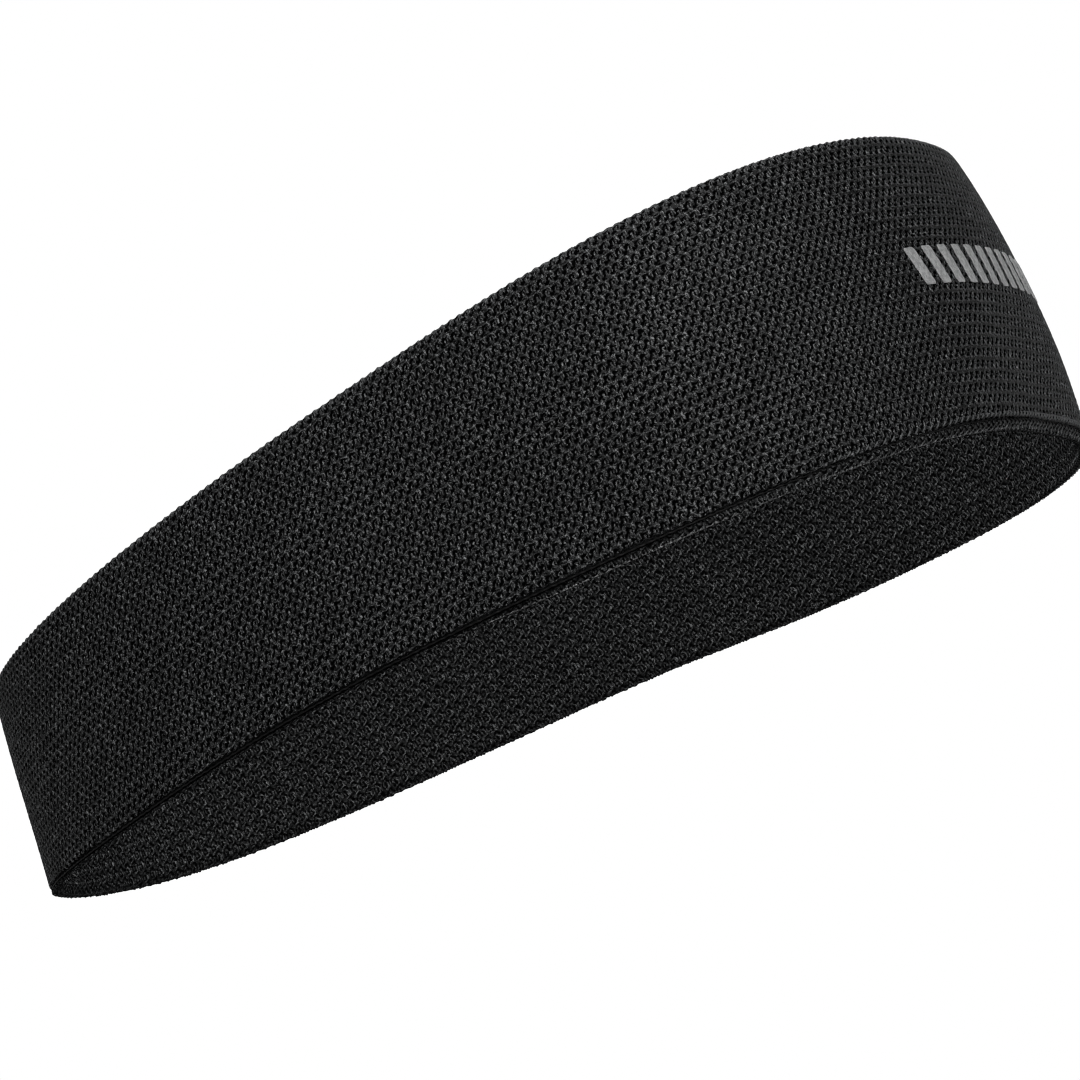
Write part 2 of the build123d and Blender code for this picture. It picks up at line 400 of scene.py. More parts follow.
def tube(name, paths, radius, sides=8, closed=False, twist=2.2, up=(0, 0, 1)):
    """Thread along each (n, 3) path: a two-ply twisted section; open ends are tapered.

    twist is in radians per mm."""
    lobes = 0.14
    # layout: strips of the one ring, or a square of cells with one open path each
    cells = 8 if closed else int(np.ceil(np.sqrt(len(paths))))
    phi = np.arange(sides) * 2 * pi / sides
    verts, corners, sizes, uvs, offset = [], [], [], [], 0
    for number, path in enumerate(paths):
        count = len(path)
        radii = np.full(count, radius)
        if closed:
            tangent = unit(np.roll(path, -1, 0) - np.roll(path, 1, 0))
        else:
            tangent = unit(np.gradient(path, axis=0))
        side = unit(np.cross(tangent, up))
        normal = np.cross(side, tangent)
        steps = np.linalg.norm(np.diff(path, axis=0), axis=1)
        run = np.concatenate([[0], np.cumsum(steps)])
        if closed:
            # a whole number of half turns, so that the plies meet
            turns = round(run[-1] * twist / (2 * pi) * 2) / 2.0
            turn = run / (run[-1] + np.linalg.norm(path[0] - path[-1])) * turns * 2 * pi
        else:
            turn = run * twist
            radii[[0, -1]] *= 0.35
            radii[[1, -2]] *= 0.8
        ply = 1 - lobes + lobes * np.cos(2 * (phi[None] - turn[:, None]))
        spoke = (side[:, None] * np.cos(phi)[None, :, None]
                 + normal[:, None] * np.sin(phi)[None, :, None])
        rings = path[:, None] + spoke * (radii[:, None] * ply)[..., None]
        verts.append(rings.reshape(-1, 3))

        spans = count if closed else count - 1
        i, j, quads = grid_quads(count, sides, spans, sides)
        if closed:
            strip, u_a, u_b = cut_in_strips(i, count, cells)
            v_a, v_b = ((strip + 0.05 + 0.9 * k / sides) / cells for k in (j, j + 1))
        else:
            cell_u, cell_v = number % cells, number // cells
            u_a, u_b = ((cell_u + 0.06 + 0.88 * k / spans) / cells for k in (i, i + 1))
            v_a, v_b = ((cell_v + 0.06 + 0.80 * k / sides) / cells for k in (j, j + 1))
        corners.append((quads + offset).ravel())
        uvs.append(corner_uv(u_a, u_b, v_a, v_b).reshape(-1, 2))
        sizes += [4] * len(quads)
        if not closed:
            for end, ring in ((0, 0), (1, count - 1)):
                cap = offset + ring * sides + np.arange(sides)
                corners.append(cap if end else cap[::-1])
                sizes.append(sides)
                cap_u = (cell_u + 0.1 + 0.15 * end + 0.04 * np.cos(phi)) / cells
                cap_v = (cell_v + 0.93 + 0.04 * np.sin(phi)) / cells
                uvs.append(np.stack([cap_u, cap_v], -1))
        offset += count * sides
    ob = new_mesh(name, np.concatenate(verts), np.concatenate(corners),
                  np.concatenate(uvs), sizes=np.array(sizes))
    face_outwards(ob)
    return ob


def slab(count_u, count_v, low, sheet, back_u, rim):
    """Quads and UVs of two equal sheets, front then back, joined by a strip round the rim.

    In the layout, low and sheet are the corner and size of the front sheet, back_u is the
    shift of the back one, and rim is the strip's length and its two v limits."""
    total = count_u * count_v
    _, _, front = grid_quads(count_u, count_v, count_u - 1, count_v - 1)
    back = front[:, ::-1]
    ring = np.concatenate([np.arange(count_u) * count_v,
                           (count_u - 1) * count_v + np.arange(1, count_v),
                           np.arange(count_u - 2, -1, -1) * count_v + count_v - 1,
                           np.arange(count_v - 2, 0, -1)])
    ring_next = np.roll(ring, -1)
    side = np.stack([ring_next, ring, ring + total, ring_next + total], -1)
    sheet_u = low[0] + sheet[0] * np.arange(count_u) / (count_u - 1)
    sheet_v = low[1] + sheet[1] * np.arange(count_v) / (count_v - 1)
    rim_u = low[0] + rim[0] * np.arange(len(ring) + 1) / len(ring)
    uv = [np.stack([sheet_u[quads // count_v] + shift, sheet_v[quads % count_v]], -1)
          for quads, shift in ((front, 0), (back, back_u))]
    uv.append(corner_uv(rim_u[1:], rim_u[:-1], rim[1], rim[2]))
    return np.concatenate([front, back + total, side]), np.concatenate(uv)


def smooth_path(path, rounds=3):
    """Chaikin corner cutting on (n, k, 2) open control polygons; the ends stay."""
    for _ in range(rounds):
        early = 0.75 * path[:, :-1] + 0.25 * path[:, 1:]
        late = 0.25 * path[:, :-1] + 0.75 * path[:, 1:]
        middle = np.stack([early, late], 2).reshape(path.shape[0], -1, 2)
        path = np.concatenate([path[:, :1], middle, path[:, -1:]], 1)
    return path


def resample(paths, share):
    """Points at the given shares of each path's length, and their arcs."""
    steps = np.linalg.norm(np.diff(paths, axis=1), axis=2)
    run = np.concatenate([np.zeros((len(paths), 1)), np.cumsum(steps, 1)], 1)
    points = np.empty((len(paths), len(share), 2))
    arc = share[None] * run[:, -1:]
    for k, path in enumerate(paths):
        for axis in (0, 1):
            points[k, :, axis] = np.interp(arc[k], run[k], path[:, axis])
    return points, arc


def dress(ob, material, body, slot_name, *nodes):
    """Gives a piece its material and its place in the frame."""
    ob.data.materials.append(material)
    if body:
        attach(ob, body)
    if nodes:
        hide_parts(*nodes)


# =====================================================================
# Shader helpers
# =====================================================================
class Graph:
    """Builds shader nodes. Any input takes a socket or a plain value."""

    def __init__(self, tree):
        self.tree = tree
        tree.nodes.clear()

    def feed(self, node, inputs):
        for key, value in inputs.items():
            socket = node.inputs[key]
            if isinstance(value, bpy.types.NodeSocket):
                self.tree.links.new(value, socket)
            elif socket.type == "RGBA":
                socket.default_value = (*value, 1.0)
            else:
                socket.default_value = value

    def node(self, kind, inputs=None, **settings):
        node = self.tree.nodes.new("ShaderNode" + kind)
        for key, value in settings.items():
            setattr(node, key, value)
        self.feed(node, inputs or {})
        return node

    def attr(self, name, output="Fac"):
        return self.node("Attribute", attribute_name=name).outputs[output]

    def place(self):
        return self.node("TexCoord").outputs["Object"]

    def noise(self, scale, detail=2.0, rough=0.5, output="Fac"):
        inputs = {"Scale": scale, "Detail": detail, "Roughness": rough,
                  "Vector": self.place()}
        return self.node("TexNoise", inputs).outputs[output]

    def math(self, operation, *terms, clamp=False):
        node = self.node("Math", dict(enumerate(terms)), operation=operation, use_clamp=clamp)
        return node.outputs[0]

    def add(self, first, second, clamp=False):
        return self.math("ADD", first, second, clamp=clamp)

    def mul(self, first, second, clamp=False):
        return self.math("MULTIPLY", first, second, clamp=clamp)

    def vector(self, operation, *terms, scale=None):
        inputs = dict(enumerate(terms))
        if scale is not None:
            inputs["Scale"] = scale
        output = "Value" if operation in ("DOT_PRODUCT", "DISTANCE", "LENGTH") else "Vector"
        return self.node("VectorMath", inputs, operation=operation).outputs[output]

    def remap(self, value, limits, to, kind="LINEAR"):
        inputs = {"Value": value, "From Min": limits[0], "From Max": limits[1],
                  "To Min": to[0], "To Max": to[1]}
        return self.node("MapRange", inputs, interpolation_type=kind).outputs["Result"]

    def mix(self, share, first, second):
        """Colour mix; 6 and 7 are the node's colour inputs and 2 its colour output."""
        return self.node("Mix", {0: share, 6: first, 7: second}, data_type="RGBA").outputs[2]

    def bump(self, height, strength, distance):
        inputs = {"Strength": strength, "Distance": distance, "Height": height}
        return self.node("Bump", inputs).outputs["Normal"]


def new_material(name):
    material = bpy.data.materials.new(name)
    material.use_nodes = True
    return material, Graph(material.node_tree)


def principled(name):
    material, graph = new_material(name)
    bsdf = graph.node("BsdfPrincipled")
    graph.node("OutputMaterial", {"Surface": bsdf.outputs["BSDF"]})
    return material, graph, bsdf


# =====================================================================
# Knit material
# =====================================================================
# Near black for the painted shade in the open and low places of the knit, and under the
# lining's turn.
HOLE_AND_SHADE_COLOUR = (0.0006, 0.00065, 0.0007)
YARN_COLOUR = (0.038, 0.0391, 0.040)
GLINT_COLOUR = (0.060, 0.0615, 0.063)


def wavering_place(graph, scale, warp):
    """Place on the knit in mm, shaken by noise, as the filaments lie loose."""
    at = graph.attr("knit_uv", "Vector")
    wobble = graph.noise(scale=scale, detail=1.0, output="Color")
    centred = graph.vector("SUBTRACT", wobble, (0.5, 0.5, 0.5))
    return graph.vector("ADD", at, graph.vector("MULTIPLY", centred, (warp, warp, 0.0)))


def offset_from(graph, at, x, y):
    """Offset from the nearest repeat of the point (x, y) of a cell."""
    offset = graph.vector("SUBTRACT", at, (x, y, 0.0))
    half = (PITCH_U / 2, PITCH_V / 2, 1.0)
    return graph.vector("WRAP", offset, half, tuple(-size for size in half))


def greatest(graph, profiles):
    return reduce(lambda first, second: graph.math("MAXIMUM", first, second), profiles)


def line_profiles(graph, lines, warp):
    """Soft profile of each stretch of the lit filaments."""
    at = wavering_place(graph, 2300.0, warp)
    for points in lines:
        for (x0, y0, strength0), (x1, y1, strength1) in zip(points, points[1:]):
            x0, x1, y0, y1 = x0 * PITCH_U, x1 * PITCH_U, y0 * PITCH_V, y1 * PITCH_V
            run_x, run_y = x1 - x0, y1 - y0
            square = run_x * run_x + run_y * run_y
            offset = offset_from(graph, at, (x0 + x1) / 2, (y0 + y1) / 2)
            share = graph.vector("DOT_PRODUCT", offset, (run_x / square, run_y / square, 0.0))
            share = graph.node("Clamp", {"Value": share, "Min": -0.5, "Max": 0.5}).outputs[0]
            nearest = graph.vector("SCALE", (run_x, run_y, 0.0), scale=share)
            yield graph.remap(graph.vector("DISTANCE", offset, nearest), (0.020, 0.150),
                              to=((strength0 + strength1) / 2, 0.0), kind="SMOOTHSTEP")


def hole_profiles(graph, holes, warp):
    """1 in each open place, 0 on the yarns, with a soft rim."""
    at = wavering_place(graph, 1500.0, warp)
    for hole_u, hole_v, half_u, half_v in holes:
        offset = offset_from(graph, at, hole_u * PITCH_U, hole_v * PITCH_V)
        per_half = (1 / (half_u * PITCH_U), 1 / (half_v * PITCH_V), 0.0)
        gap = graph.vector("LENGTH", graph.vector("MULTIPLY", offset, per_half))
        yield graph.remap(gap, (0.60, 1.35), to=(1.0, 0.0), kind="SMOOTHSTEP")


def row_shade_wave(graph):
    """Painted shade and highlight: waves of tone along the knit's rows and columns, set against
    the stripes of its rows.
    """
    def ripple(turn, phase, strength, harmonic=1.0):
        turn = graph.math("SUBTRACT", turn, 2 * pi * phase)
        if harmonic != 1.0:
            turn = graph.mul(turn, harmonic)
        return graph.mul(graph.math("COSINE", turn), strength)

    at = graph.attr("knit_uv", "Vector")
    row = graph.vector("DOT_PRODUCT", at, (0.0, 2 * pi / PITCH_V, 0.0))
    col = graph.vector("DOT_PRODUCT", at, (2 * pi / PITCH_U, 0.0, 0.0))
    wave = graph.add(ripple(row, phase=0.92, strength=-0.62),
                     ripple(row, phase=0.28, strength=-0.32, harmonic=2.0))
    return graph.add(wave, ripple(col, phase=0.02, strength=0.05))


def knit_material(name, line, painted_edge_highlight, lines, holes, warp):
    """Black polyester knit: painted shade between the yarns and in its open places, lighter on
    their crests.

    line is the colour of the lit filaments; the colour after it is that of the painted
    highlight along the top rim and the turned edge of the lining."""
    material, graph, bsdf = principled(name)
    remap, mix, mul, add = graph.remap, graph.mix, graph.mul, graph.add
    mask, height = graph.attr("knit_m"), graph.attr("knit_h")
    lit = greatest(graph, line_profiles(graph, lines, warp))
    holes_and_shade = greatest(graph, hole_profiles(graph, holes, 0.9 * warp))
    holes_and_shade = graph.math("MAXIMUM", mul(holes_and_shade, graph.attr("knit_w")), graph.attr("knit_s"))
    fine = graph.noise(scale=5200.0, rough=0.6)
    speck = graph.noise(scale=3100.0, detail=1.0)
    cloud = graph.noise(scale=38.0, detail=3.0, rough=0.55)
    patch = graph.noise(scale=620.0)

    # Painted shade: darker where the yarns sit low and between them.
    crest = mul(remap(mask, (0.10, 0.70), to=(0.35, 1.0)),
                remap(height, (0.40, 0.90), to=(0.45, 1.0)), clamp=True)
    colour = mix(crest, HOLE_AND_SHADE_COLOUR, YARN_COLOUR)
    glint = mul(remap(height, (0.80, 1.0), to=(0.0, 1.0)),
                remap(patch, (0.42, 0.66), to=(0.0, 1.0)), clamp=True)
    colour = mix(glint, colour, GLINT_COLOUR)
    uneven = graph.noise(scale=1900.0, detail=1.0)
    lit = mul(lit, remap(uneven, (0.34, 0.66), to=(0.20, 1.35)))
    lit = mul(lit, graph.attr("knit_w"), clamp=True)
    colour = mix(lit, colour, line)
    # Painted highlight along the top rim of the outer layer and the turned edge of the lining.
    folded = mul(graph.attr("knit_painted_highlight"), remap(fine, (0.3, 0.7), to=(0.45, 1.0)))
    colour = mix(folded, colour, painted_edge_highlight)
    # Painted shade: near black in the open places of the knit and in the painted shadow under
    # the turn and beside the groove.
    colour = mix(mul(holes_and_shade, 0.93), colour, HOLE_AND_SHADE_COLOUR)

    tone = add(remap(cloud, (0.3, 0.7), to=(0.92, 1.08)),
               remap(fine, (0.3, 0.7), to=(-0.20, 0.20)))
    # Painted shade and highlight in waves along the rows, over the forehead.
    tone = add(tone, mul(row_shade_wave(graph), graph.attr("knit_row_shade")))
    tone = add(tone, remap(speck, (0.32, 0.68), to=(-0.72, 0.72)))
    varied = graph.node("HueSaturation", {"Color": colour, "Value": tone})
    solid = graph.math("SUBTRACT", 1.0, holes_and_shade, clamp=True)
    grain = add(mul(patch, 0.6), mul(fine, 0.4))
    graph.feed(bsdf, {
        "Base Color": varied.outputs["Color"],
        "Roughness": remap(grain, (0.35, 0.65), to=(0.30, 0.46)),
        "IOR": 1.5,
        "Specular IOR Level": mul(remap(crest, (0.2, 0.9), to=(0.02, 0.26)), solid),
        "Sheen Weight": mul(solid, 0.03),
        "Sheen Roughness": 0.30,
        "Sheen Tint": (0.84, 0.87, 0.90),
        "Normal": graph.bump(fine, strength=0.55, distance=0.00004),
    })
    return material


# =====================================================================
# Thread, print and label materials
# =====================================================================
def thread_material(name, colour, rough, sheen):
    material, graph, bsdf = principled(name)
    fine = graph.noise(scale=4200.0, rough=0.6)
    slow = graph.noise(scale=160.0)
    tone = graph.add(graph.mul(fine, 0.6), graph.mul(slow, 0.4))
    dark = tuple(part * 0.45 for part in colour)
    graph.feed(bsdf, {
        "Base Color": graph.mix(graph.remap(tone, (0.35, 0.65), to=(0, 1)), dark, colour),
        "Roughness": graph.remap(fine, (0.3, 0.7), to=(rough - 0.1, rough + 0.15)),
        "Sheen Weight": sheen,
        "Sheen Roughness": 0.4,
        "Normal": graph.bump(fine, strength=0.6, distance=0.00004),
    })
    return material


def print_material(name):
    """Grey reflective print: fine grain, a little worn, and darker where the knit below sinks.
    """
    material, graph, bsdf = principled(name)
    grain = graph.noise(scale=3600.0, rough=0.65)
    wear = graph.noise(scale=520.0, detail=3.0, rough=0.6)
    height = graph.attr("knit_h")
    tone = graph.add(graph.remap(grain, (0.3, 0.7), to=(-0.5, 0.5)),
                     graph.remap(wear, (0.3, 0.7), to=(-0.35, 0.35)))
    tone = graph.add(tone, graph.remap(height, (0.2, 1.0), to=(0.15, 0.9)), clamp=True)
    graph.feed(bsdf, {
        "Base Color": graph.mix(tone, (0.56, 0.566, 0.572), (0.90, 0.905, 0.91)),
        "Roughness": graph.remap(grain, (0.3, 0.7), to=(0.34, 0.55)),
        "Metallic": 0.25,
        "Normal": graph.bump(grain, strength=0.35, distance=0.00003),
    })
    return material


def label_material(name):
    """Woven satin: fine ribs across, soft sheen."""
    material, graph, bsdf = principled(name)
    ribs = {"Scale": 900.0, "Distortion": 0.6, "Detail": 1.0, "Vector": graph.place()}
    wave = graph.node("TexWave", ribs, wave_type="BANDS", bands_direction="Z")
    fine = graph.noise(scale=3000.0, rough=0.6)
    slow = graph.noise(scale=220.0)
    weave = graph.add(graph.mul(wave.outputs["Fac"], 0.55),
                      graph.add(graph.mul(fine, 0.25), graph.mul(slow, 0.2)))
    graph.feed(bsdf, {
        "Base Color": graph.mix(weave, (0.018, 0.018, 0.019), (0.060, 0.061, 0.064)),
        "Roughness": graph.remap(fine, (0.3, 0.7), to=(0.30, 0.44)),
        "Sheen Weight": 0.15,
        "Normal": graph.bump(weave, strength=0.5, distance=0.00005),
    })
    return material


# Each knit's second colour is the painted highlight along its edge: the top rim outside, the
# turned edge of the lining.
MAT_OUTER = knit_material("outer_knit", line=(0.33, 0.338, 0.345), painted_edge_highlight=(0.25, 0.256, 0.262),
                          lines=OUTER_LINES, holes=OUTER_HOLES, warp=1.05)
MAT_LINING = knit_material("lining_knit", line=(0.32, 0.328, 0.335),
                           painted_edge_highlight=(0.105, 0.108, 0.111),
                           lines=LINING_LINES, holes=LINING_HOLES, warp=1.15)
MAT_THREAD = thread_material("seam_thread", (0.006, 0.0062, 0.0065), rough=0.42, sheen=0.03)
MAT_EDGE = thread_material("edge_thread", (0.27, 0.277, 0.283), rough=0.40, sheen=0.03)
MAT_SEAM = thread_material("closing_seam_thread", (0.075, 0.077, 0.079),
                           rough=0.40, sheen=0.05)
MAT_PRINT = print_material("reflective_print")
MAT_LABEL = label_material("label_satin")

# =====================================================================
# The two knit layers
# =====================================================================
PER_COL = 8                           # mesh columns in one knit column
MESH_COLS = COLS * PER_COL
HIDDEN_ROWS = 5                       # mesh rows on the unseen side of a layer
ARC = np.arange(MESH_COLS) * LOOP / MESH_COLS
ANGLE = angle_at(ARC)
COLUMN = cols_at(ARC)
BOTTOM, TOP = bottom(ANGLE), top(ANGLE)
# the knit runs with the folded top edge
TOP_SLOPE = (np.roll(TOP, -1) - np.roll(TOP, 1)) / (2 * LOOP / MESH_COLS)


def edge_noise(column, seed, period):
    return lattice_noise(column, np.zeros_like(column), SEED + seed, period)


def section(rows):
    """Control polygon of every mesh column, from (depth, height) rows."""
    return np.stack([np.stack([np.broadcast_to(value, ANGLE.shape) for value in row], -1)
                     for row in rows], 1)


def between(share):
    return BOTTOM + share * (TOP - BOTTOM)


def drape(angle, z):
    """The slow waviness of worn fabric."""
    return (0.16 * np.sin(5 * angle + 0.05 * z + 0.4) * np.sin(0.11 * z + 2 * angle)
            + 0.10 * np.sin(11 * angle - 0.09 * z + 1.3))


def padded(values, hidden=0.0):
    """Adds the hidden rows to values of the visible rows."""
    return np.hstack([values, np.full((len(values), HIDDEN_ROWS), hidden)])


def knit_layer(name, face, back, maps, u_sign, seed, rows, phase, fade,
               painted_edge_highlight, shade=None, row_shade=np.zeros(MESH_COLS)):
    """One layer: the visible face carries the knit, the back closes the section.

    phase shifts the stitches down the band; fade is how far from the start and the end
    of the face the relief is full."""
    face, arc = resample(smooth_path(face), np.linspace(0, 1, rows))
    back, _ = resample(smooth_path(back, 2), np.linspace(0, 1, HIDDEN_ROWS + 2)[1:-1])
    arc_left = arc[:, -1:] - arc
    slope = np.gradient(face, axis=1)
    slope /= np.maximum(np.linalg.norm(slope, axis=2, keepdims=True), 1e-9)

    down = (arc_left + phase) / PITCH_V
    lean = TOP_SLOPE[:, None] * (face[..., 1] - TOP[:, None]) / PITCH_U
    along = u_sign * (COLUMN[:, None] + lean)
    height, mask, knit_u, knit_v = knit(maps, along, down, seed)
    weight = clamp01(arc / fade[0]) * clamp01(arc_left / fade[1])
    lift = -RELIEF * (1 - height) * weight + CREST * weight
    angle = ANGLE[:, None]
    loose = clamp01(arc / 3) * clamp01(arc_left / 3)
    depth = face[..., 0] + drape(angle, face[..., 1]) * loose - slope[..., 1] * lift
    z = face[..., 1] + slope[..., 0] * lift
    depth, z = np.hstack([depth, back[..., 0]]), np.hstack([z, back[..., 1]])
    knit_uv = [padded(knit_u) * PITCH_U, padded(knit_v) * PITCH_V, np.zeros(depth.shape)]
    attrs = {
        "knit_h": padded(1 - (1 - height) * weight, 0.3),
        "knit_m": padded(1 - (1 - mask) * weight, 0.4),
        "knit_w": padded(weight),
        # strength of the painted highlight along the edge
        "knit_painted_highlight": padded(painted_edge_highlight(face)),
        "knit_s": padded(shade(face)) if shade else np.zeros(depth.shape),
        # strength of the painted row shade and highlight
        "knit_row_shade": row_shade[:, None] * np.ones(depth.shape),
        "knit_uv": np.stack(knit_uv, -1),
    }
    row_v = np.concatenate([np.linspace(0, 0.93, rows),
                            np.linspace(0.935, 0.99, HIDDEN_ROWS + 2)[1:-1], [1.0]])
    return grid_loop(name, place(angle, depth, z), row_v, attrs)


# ---- outer layer: from the groove, up the outer face and over the top edge ----
# 0 at the forehead, 1 along the sides and back
SIDE = clamp01((np.abs(ANGLE) - radians(40)) / radians(25))
STITCH = 2 * pi * COLUMN
EDGE = (0.30 * SIDE - 0.04 + (0.05 + 0.08 * SIDE) * np.sin(STITCH)
        + 0.13 * edge_noise(COLUMN * 2.0, 33, COLS * 2)
        + 0.08 * edge_noise(COLUMN / 2.0, 34, COLS // 2))
RIM = 0.09 * np.cos(STITCH) + 0.03 * edge_noise(COLUMN * 2.0, 35, COLS * 2)

# depth, height
outer_face = section([
    (LAYER_T, BOTTOM + 1.10), (0.86, BOTTOM + 0.34 + EDGE), (0.50, BOTTOM + 0.26 + EDGE),
    (0.10, BOTTOM + 0.26 + EDGE), (0.0, BOTTOM + 0.36 + EDGE),
    (0.0, BOTTOM + 0.95 + 0.5 * EDGE), (0.0, BOTTOM + 2.5),
    (0.0, between(0.25)), (0.0, between(0.5)), (0.0, between(0.75)),
    (0.0, TOP - 2.6), (0.0, TOP - 0.95), (0.06, TOP - 0.12 + 0.5 * RIM),
    (0.42, TOP + 0.22 + RIM), (0.86, TOP + 0.16 + 0.5 * RIM), (1.06, TOP - 0.28),
    (1.08, TOP - 0.75)])
outer_back = section([
    (1.08, TOP - 0.75), (0.98, TOP - 2.0), (0.92, (TOP + BOTTOM) / 2),
    (LAYER_T, BOTTOM + 2.2), (LAYER_T, BOTTOM + 1.10)])


def rim_painted_highlight(face):
    """Painted highlight on the rolled upper edge, where the yarns lie flat and catch the light.
    """
    stitch = 0.75 + 0.25 * np.cos(STITCH + 0.8)
    near = np.exp(-((face[..., 1] - TOP[:, None] - 0.10) / 0.65) ** 2)
    return 0.85 * near * (face[..., 0] < 0.9) * stitch[:, None]


outer = knit_layer("outer_shell_knit", outer_face, outer_back, OUTER_MAPS, u_sign=1.0,
                   seed=SEED, rows=226, phase=0.30, fade=(0.7, 1.0), painted_edge_highlight=rim_painted_highlight,
                   # the painted row shade and highlight is full over the middle of the forehead
                   # and gone beyond 46 degrees either side
                   row_shade=clamp01((radians(46) - np.abs(ANGLE)) / radians(20)))
dress(outer, MAT_OUTER, "band", "outer_knit", "outer_shell")

# ---- lining: from the groove, round the hem, up the inner face and over the top ----
HEM = hem(ANGLE)
HEM_TOP = BOTTOM - GROOVE_HALF + 0.20 - 0.32 * SIDE
HEM_LOW = BOTTOM - GROOVE_HALF - HEM

# depth, height
lining_face = section([
    (LINING_DEPTH, HEM_TOP + 0.9), (1.05, HEM_TOP + 0.25), (0.62, HEM_TOP + 0.05),
    (0.22, HEM_TOP - 0.02), (0.10, HEM_TOP - 0.30 * HEM), (0.22, HEM_TOP - 0.75 * HEM),
    (0.55, HEM_LOW + 0.02), (1.20, HEM_LOW + 0.02), (1.85, HEM_LOW + 0.15),
    (LINING_FACE, HEM_LOW + 0.8), (LINING_FACE, HEM_LOW + 2.5),
    (LINING_FACE, between(0.25)), (LINING_FACE, between(0.5)), (LINING_FACE, between(0.75)),
    (LINING_FACE, TOP - 2.6), (2.05, TOP - 0.85), (1.85, TOP - 0.10), (1.48, TOP + 0.08),
    (1.22, TOP - 0.20), (LINING_DEPTH, TOP - 0.80)])
lining_back = section([
    (LINING_DEPTH, TOP - 0.80), (1.13, TOP - 2.0), (1.13, (TOP + BOTTOM) / 2),
    (LINING_DEPTH, HEM_TOP + 2.2), (LINING_DEPTH, HEM_TOP + 0.9)])


def fold_painted_highlight(face):
    """Painted highlight on the ridge where the lining turns under the groove, ahead of the
    ears.
    """
    square = (face[..., 0] - 0.50) ** 2 + (face[..., 1] - (HEM_LOW + 0.03)[:, None]) ** 2
    ahead = 0.25 + 0.75 * clamp01((radians(85) - np.abs(ANGLE)) / radians(30))
    strength = clamp01((HEM - 0.45) / 0.6) * ahead
    return 0.55 * np.exp(-square / 0.125 ** 2) * strength[:, None]


def turn_shade(face):
    """Shadow under the turn towards the head, and beside the groove behind the temples."""
    depth, z = face[..., 0], face[..., 1]
    rear = clamp01((np.abs(ANGLE) - radians(48)) / radians(30))[:, None]
    above = np.maximum(z - HEM_LOW[:, None] - 0.25, 0)
    under = (np.exp(-(above / (0.45 + 0.35 * rear)) ** 2)
             * clamp01((depth - 0.95 + 0.45 * rear) / 0.35))
    ragged = edge_noise(COLUMN / 3.0, 61, COLS // 3)[:, None]
    rear = clamp01(rear + 0.35 * ragged * (rear > 0) * (rear < 1))
    beside = (np.exp(-((z - HEM_TOP[:, None]) / (0.35 + 0.25 * rear)) ** 2)
              * (depth < 1.1) * rear)
    return np.clip(0.92 * under + 0.90 * beside, 0, 0.95)


lining = knit_layer("inner_lining_knit", lining_face, lining_back, LINING_MAPS, u_sign=-1.0,
                    seed=SEED + 50, rows=230, phase=0.6, fade=(0.7, 0.8), painted_edge_highlight=fold_painted_highlight,
                    shade=turn_shade)
dress(lining, MAT_LINING, "band", "lining_knit", "inner_lining")


# =====================================================================
# Threads
# =====================================================================
def stitch_steps(per_column):
    """Angles right round the loop, and the phase within a knit column."""
    steps = np.arange(COLS * per_column)
    return angle_at(steps * LOOP / len(steps)), 2 * pi * steps / per_column


def groove_thread():
    """Running thread in the groove at the bottom edge."""
    angle, phase = stitch_steps(10)
    path = place(angle, 0.50 + 0.10 * np.cos(phase), bottom(angle) + 0.05 * np.sin(phase))
    ob = tube("bottom_edge_seam_thread", [path], radius=0.19, closed=True)
    dress(ob, MAT_THREAD, "band", "seam_thread", "bottom_edge_seam")


def whip_stitches():
    """Stitches over the outer layer's lower edge, at the front."""
    each_side, length, rise = 40, PITCH_U * 0.66, 0.90
    share = np.linspace(0, 1, 9)
    depth = 0.26 - 0.58 * np.sin(pi * clamp01(share * 0.9 + 0.12)) ** 0.7
    paths = []
    for k in range(-each_side, each_side + 1):
        angle = angle_at(CENTRE + k * PITCH_U + (share - 0.5) * length)
        paths.append(place(angle, depth, bottom(angle) + 0.36 + rise * share))
    ob = tube("lower_edge_whip_stitches", paths, radius=0.14, sides=6)
    dress(ob, MAT_EDGE, "band", "seam_thread")


def top_thread():
    """Chain of loops in the joint of the layers along the top edge."""
    angle, phase = stitch_steps(12)
    path = place(angle, 1.10 + 0.15 * np.sin(phase),
                 top(angle) + 0.16 + 0.10 * np.cos(phase))
    ob = tube("top_edge_seam_thread", [path], radius=0.15, sides=6, closed=True)
    dress(ob, MAT_THREAD, "band", "seam_thread", "top_edge_seam")


def closing_zigzag(name, depth, sign, node):
    """Zigzag up the centre back; sign is +1 where it stands inwards, -1 outwards."""
    margin, pitch, half_width = 1.0, 1.5, 1.05
    low, high = float(bottom(pi)) + margin, float(top(pi)) - margin
    turns = int((high - low) / pitch)
    share = np.linspace(0, 1, turns * 16)
    swing = 2 / pi * np.arcsin(np.sin(2 * pi * turns * share))
    depth = (depth + sign * 0.10 * (1 - np.abs(swing) ** 3)
             - sign * 0.16 * np.abs(swing) ** 6)
    path = place(angle_at(swing * half_width), depth, low + (high - low) * share)
    ob = tube(name, [path], radius=0.17, up=(0, -1, 0), twist=3.0)
    dress(ob, MAT_SEAM, "band", "seam_thread", node)


groove_thread()
whip_stitches()
top_thread()
closing_zigzag("outer_back_seam_zigzag", -0.12, -1.0, "outer_back_seam")
closing_zigzag("lining_back_seam_zigzag", 2.05 + 0.16, 1.0, "lining_back_seam")


# =====================================================================
# Reflective print: slanted bars on the forehead
# =====================================================================
def node_box(name):
    low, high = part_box(name)
    return np.array(low, float) * 1000.0, np.array(high, float) * 1000.0


